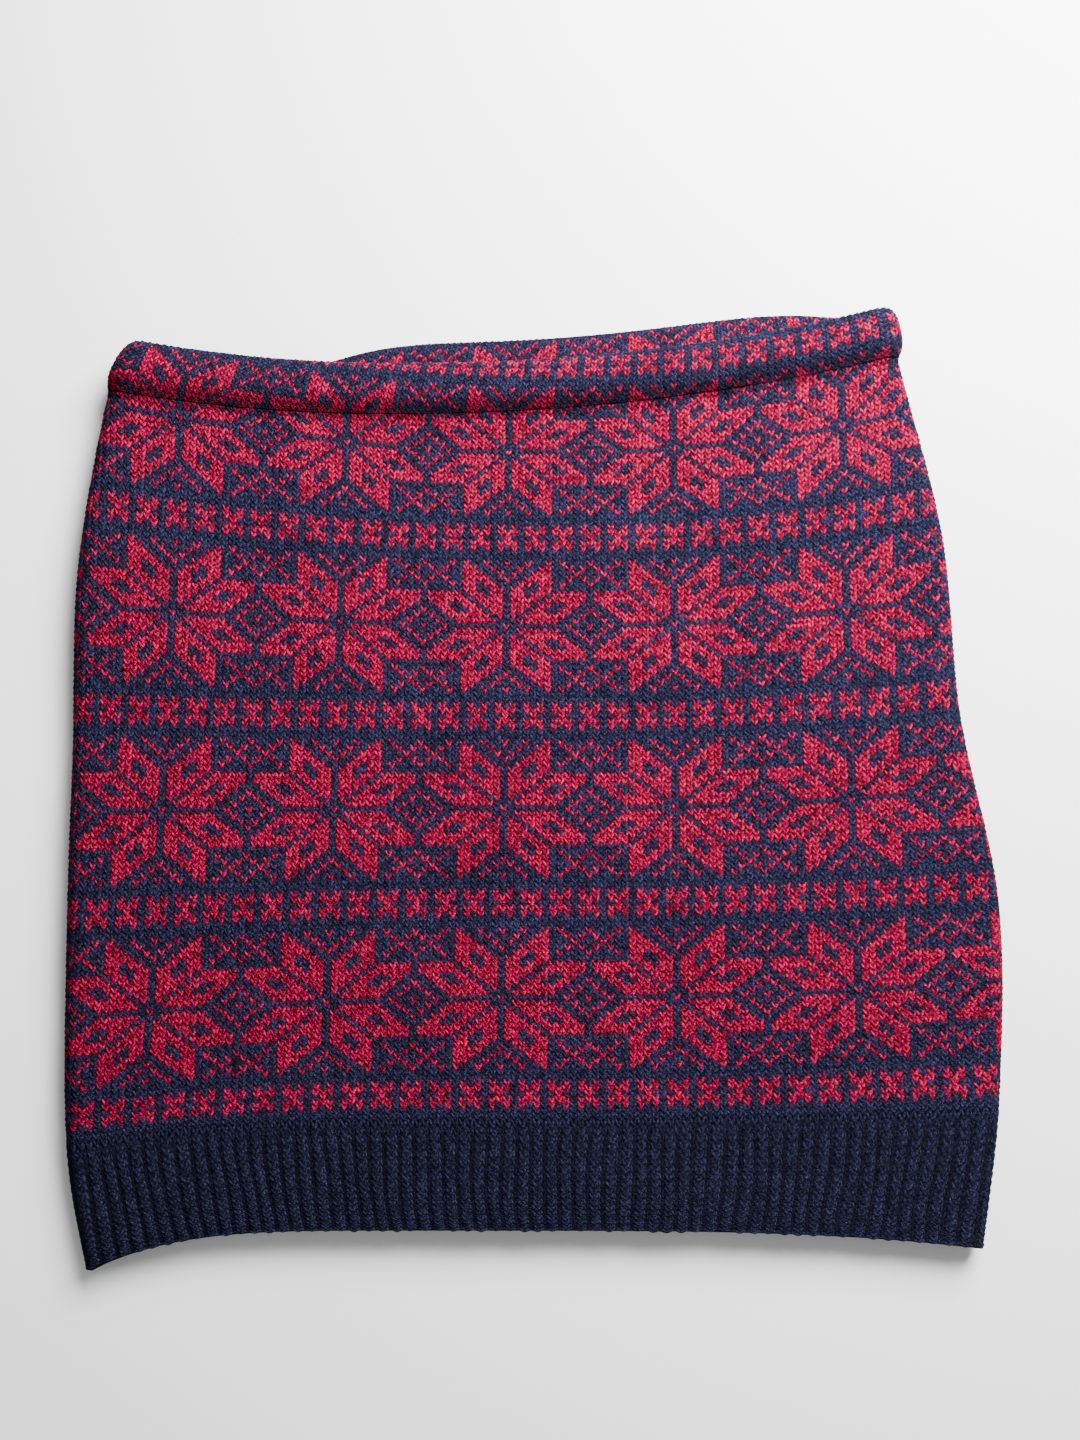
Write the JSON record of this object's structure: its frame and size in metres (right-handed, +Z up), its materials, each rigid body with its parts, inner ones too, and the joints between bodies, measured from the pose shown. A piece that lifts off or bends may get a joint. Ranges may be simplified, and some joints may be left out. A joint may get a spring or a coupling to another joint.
{
  "type": "knitted skirt",
  "caption": "Knitted mini skirt lying flat, with a star and cross pattern in red on navy, a ribbed hem, side seams and an elasticated turned-over waist.",
  "frame": {"origin": "middle of the skirt's outline, on the surface that its back lies on", "axes": "+Y from the hem towards the waist, +X to the right as seen from the front, +Z up out of the front face"},
  "size_m": [0.4544, 0.4737, 0.0216],
  "materials": {
    "patterned_knit": "stranded wool knit, red motifs on heathered navy, matt and slightly fuzzy",
    "navy_rib": "heathered navy wool, one by one rib, matt and slightly fuzzy",
    "elastic_band": "off-white woven elastic with fine lengthwise cords",
    "elastic_thread": "off-white spun polyester thread",
    "seam_yarn": "navy wool yarn, matt"
  },
  "bodies": {
    "root": {"front_body": "patterned_knit", "back_body": "patterned_knit", "front_hem_rib": "navy_rib", "back_hem_rib": "navy_rib", "front_waist_casing": "patterned_knit", "back_waist_casing": "patterned_knit", "waist_elastic": "elastic_band", "elastic_join_thread": "elastic_thread", "left_side_seam": "seam_yarn", "right_side_seam": "seam_yarn", "casing_seam_thread": "seam_yarn"}
  },
  "joints": []
}
